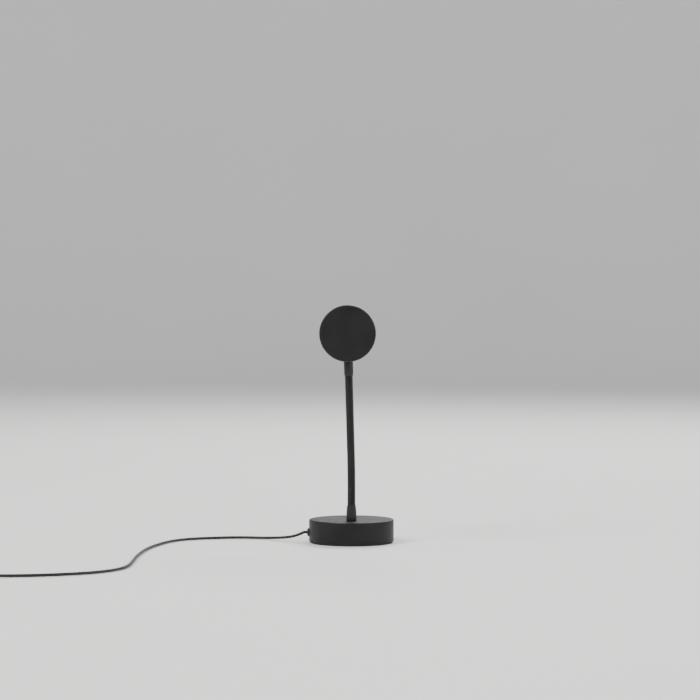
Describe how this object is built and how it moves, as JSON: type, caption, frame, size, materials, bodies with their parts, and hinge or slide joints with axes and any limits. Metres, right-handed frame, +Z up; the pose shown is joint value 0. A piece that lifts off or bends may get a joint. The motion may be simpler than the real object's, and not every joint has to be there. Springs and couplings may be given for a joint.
{
  "type": "sunset projection lamp",
  "caption": "Small projection lamp: a weighted round base, a bendable gooseneck and a cylindrical lens head, with a low-voltage lead, inline switch and USB plug.",
  "frame": {"origin": "centre of the base's underside, on the table", "axes": "+Z up, +Y the way the beam leaves the head, -X the side where the lead leaves the base"},
  "size_m": [0.4381, 0.3649, 0.2515],
  "materials": {
    "shell_black": "fine matt black powder coat on turned aluminium",
    "sink_black": "satin black anodised aluminium",
    "ferrule_black": "satin black paint on turned steel",
    "neck_black": "black coated wound steel",
    "plate_black": "black passivated sheet steel",
    "ring_black": "blackened spring steel",
    "steel_plain": "plain turned steel",
    "steel_bright": "zinc plated steel",
    "saddle_grey": "as cast",
    "pad_black": "fine pored foam rubber",
    "bush_black": "smooth moulded rubber",
    "lead_black": "satin black PVC sheath",
    "neck_wire": "pale grey PVC sheath",
    "board_green": "green solder mask",
    "parts_mixed": "moulded component cases",
    "board_white": "white solder mask on aluminium",
    "emitter_yellow": "phosphor under a clear dome",
    "holder_black": "matt black moulding",
    "lens_glass": "clear polished glass",
    "filter_sunset": "coated glass, red in the middle and amber outside",
    "case_black": "fine spark texture",
    "button_black": "satin moulding",
    "core_cream": "plain moulding",
    "tie_black": "soft moulded strip",
    "grip_black": "satin overmoulding",
    "plug_nickel": "nickel plated sheet steel",
    "tongue_white": "plain white moulding",
    "contact_gold": "gold flashed"
  },
  "bodies": {
    "base": {"base_shell": "shell_black", "base_weight": "steel_plain", "bottom_plate": "plate_black", "plate_screws": "steel_bright", "foot_pad": "pad_black", "driver_board": "board_green", "board_parts": "parts_mixed", "driver_screws": "steel_bright", "feed_lead": "lead_black", "strain_relief": "bush_black", "neck_nut": "steel_bright", "neck_washer": "steel_bright", "neck_ferrule_lower": "ferrule_black", "neck_lead": "neck_wire", "cord_run": "lead_black", "cord_coil": "lead_black", "cord_tail_switch": "lead_black", "cord_tail_plug": "lead_black", "coil_tie": "tie_black", "switch_case_lower": "case_black", "switch_case_upper": "case_black", "switch_core": "core_cream", "switch_screws": "steel_bright", "button_spring": "steel_bright", "usb_overmould": "grip_black", "usb_shell": "plug_nickel", "usb_tongue": "tongue_white", "usb_contacts": "contact_gold"},
    "link_01": {"neck_link_01": "neck_black"},
    "link_02": {"neck_link_02": "neck_black"},
    "link_03": {"neck_link_03": "neck_black"},
    "link_04": {"neck_link_04": "neck_black"},
    "link_05": {"neck_link_05": "neck_black"},
    "link_06": {"neck_link_06": "neck_black"},
    "link_07": {"neck_link_07": "neck_black"},
    "link_08": {"neck_link_08": "neck_black"},
    "link_09": {"neck_link_09": "neck_black"},
    "link_10": {"neck_link_10": "neck_black"},
    "link_11": {"neck_link_11": "neck_black"},
    "link_12": {"neck_link_12": "neck_black"},
    "link_13": {"neck_link_13": "neck_black"},
    "link_14": {"neck_link_14": "neck_black"},
    "link_15": {"neck_link_15": "neck_black"},
    "head": {"neck_ferrule_upper": "ferrule_black", "saddle_block": "saddle_grey", "head_nut": "steel_bright", "rear_cap": "shell_black", "heat_sink": "sink_black", "head_barrel": "shell_black", "led_board": "board_white", "led_emitter": "emitter_yellow", "led_screws": "steel_bright", "optic_holder": "holder_black", "condenser_lens": "lens_glass", "colour_filter": "filter_sunset", "filter_ring": "ring_black", "main_lens": "lens_glass", "lens_gasket": "bush_black", "front_bezel": "shell_black"},
    "button": {"switch_button": "button_black"}
  },
  "joints": [
    {"name": "neck_pitch_1", "type": "hinge", "parent": "base", "child": "link_01", "pos_m": [0, -0.02, 0.0415], "axis": [-1, 0, 0], "range_deg": [-11.25, 11.25], "deforming": ["neck_lead"]},
    {"name": "neck_roll_1", "type": "hinge", "parent": "link_01", "child": "link_02", "pos_m": [0, -0.02, 0.0505], "axis": [0, 1, 0], "range_deg": [-11.25, 11.25], "deforming": ["neck_lead"]},
    {"name": "neck_pitch_2", "type": "hinge", "parent": "link_02", "child": "link_03", "pos_m": [0, -0.02, 0.0595], "axis": [-1, 0, -0.0029], "range_deg": [-11.25, 11.25], "deforming": ["neck_lead"]},
    {"name": "neck_roll_2", "type": "hinge", "parent": "link_03", "child": "link_04", "pos_m": [-0.00003, -0.02, 0.0685], "axis": [0, 1, 0], "range_deg": [-11.25, 11.25], "deforming": ["neck_lead"]},
    {"name": "neck_pitch_3", "type": "hinge", "parent": "link_04", "child": "link_05", "pos_m": [-0.00011, -0.02, 0.0775], "axis": [-0.9998, 0, -0.0181], "range_deg": [-11.25, 11.25], "deforming": ["neck_lead"]},
    {"name": "neck_roll_3", "type": "hinge", "parent": "link_05", "child": "link_06", "pos_m": [-0.00028, -0.02, 0.0865], "axis": [0, 1, 0], "range_deg": [-11.25, 11.25], "deforming": ["neck_lead"]},
    {"name": "neck_pitch_4", "type": "hinge", "parent": "link_06", "child": "link_07", "pos_m": [-0.0005, -0.02, 0.0955], "axis": [-0.9996, 0, -0.0279], "range_deg": [-11.25, 11.25], "deforming": ["neck_lead"]},
    {"name": "neck_roll_4", "type": "hinge", "parent": "link_07", "child": "link_08", "pos_m": [-0.00075, -0.02, 0.10449], "axis": [0, 1, 0], "range_deg": [-11.25, 11.25], "deforming": ["neck_lead"]},
    {"name": "neck_pitch_5", "type": "hinge", "parent": "link_08", "child": "link_09", "pos_m": [-0.00101, -0.02, 0.11349], "axis": [-0.9996, 0, -0.0279], "range_deg": [-11.25, 11.25], "deforming": ["neck_lead"]},
    {"name": "neck_roll_5", "type": "hinge", "parent": "link_09", "child": "link_10", "pos_m": [-0.00126, -0.02, 0.12248], "axis": [0, 1, 0], "range_deg": [-11.25, 11.25], "deforming": ["neck_lead"]},
    {"name": "neck_pitch_6", "type": "hinge", "parent": "link_10", "child": "link_11", "pos_m": [-0.00151, -0.02, 0.13148], "axis": [-0.9996, 0, -0.0279], "range_deg": [-11.25, 11.25], "deforming": ["neck_lead"]},
    {"name": "neck_roll_6", "type": "hinge", "parent": "link_11", "child": "link_12", "pos_m": [-0.00176, -0.02, 0.14048], "axis": [0, 1, 0], "range_deg": [-11.25, 11.25], "deforming": ["neck_lead"]},
    {"name": "neck_pitch_7", "type": "hinge", "parent": "link_12", "child": "link_13", "pos_m": [-0.00201, -0.02, 0.14947], "axis": [-0.9996, 0, -0.0279], "range_deg": [-11.25, 11.25], "deforming": ["neck_lead"]},
    {"name": "neck_roll_7", "type": "hinge", "parent": "link_13", "child": "link_14", "pos_m": [-0.00226, -0.02, 0.15847], "axis": [0, 1, 0], "range_deg": [-11.25, 11.25], "deforming": ["neck_lead"]},
    {"name": "neck_pitch_8", "type": "hinge", "parent": "link_14", "child": "link_15", "pos_m": [-0.00251, -0.02, 0.16747], "axis": [-0.9996, 0, -0.0279], "range_deg": [-11.25, 11.25], "deforming": ["neck_lead"]},
    {"name": "neck_roll_8", "type": "hinge", "parent": "link_15", "child": "head", "pos_m": [-0.00276, -0.02, 0.17646], "axis": [0, 1, 0], "range_deg": [-11.25, 11.25], "deforming": ["neck_lead"]},
    {"name": "button_press", "type": "slide", "parent": "base", "child": "button", "axis": [0, 0, -1], "range_m": [0, 0.0013], "stiffness_N_per_m": 400, "springref_m": -0.002, "deforming": ["button_spring"]}
  ],
  "couplings": [
    {"joint": "neck_pitch_2", "follows": "neck_pitch_1", "ratio": 1},
    {"joint": "neck_roll_2", "follows": "neck_roll_1", "ratio": 1},
    {"joint": "neck_pitch_3", "follows": "neck_pitch_1", "ratio": 1},
    {"joint": "neck_roll_3", "follows": "neck_roll_1", "ratio": 1},
    {"joint": "neck_pitch_4", "follows": "neck_pitch_1", "ratio": 1},
    {"joint": "neck_roll_4", "follows": "neck_roll_1", "ratio": 1},
    {"joint": "neck_pitch_5", "follows": "neck_pitch_1", "ratio": 1},
    {"joint": "neck_roll_5", "follows": "neck_roll_1", "ratio": 1},
    {"joint": "neck_pitch_6", "follows": "neck_pitch_1", "ratio": 1},
    {"joint": "neck_roll_6", "follows": "neck_roll_1", "ratio": 1},
    {"joint": "neck_pitch_7", "follows": "neck_pitch_1", "ratio": 1},
    {"joint": "neck_roll_7", "follows": "neck_roll_1", "ratio": 1},
    {"joint": "neck_pitch_8", "follows": "neck_pitch_1", "ratio": 1},
    {"joint": "neck_roll_8", "follows": "neck_roll_1", "ratio": 1}
  ]
}
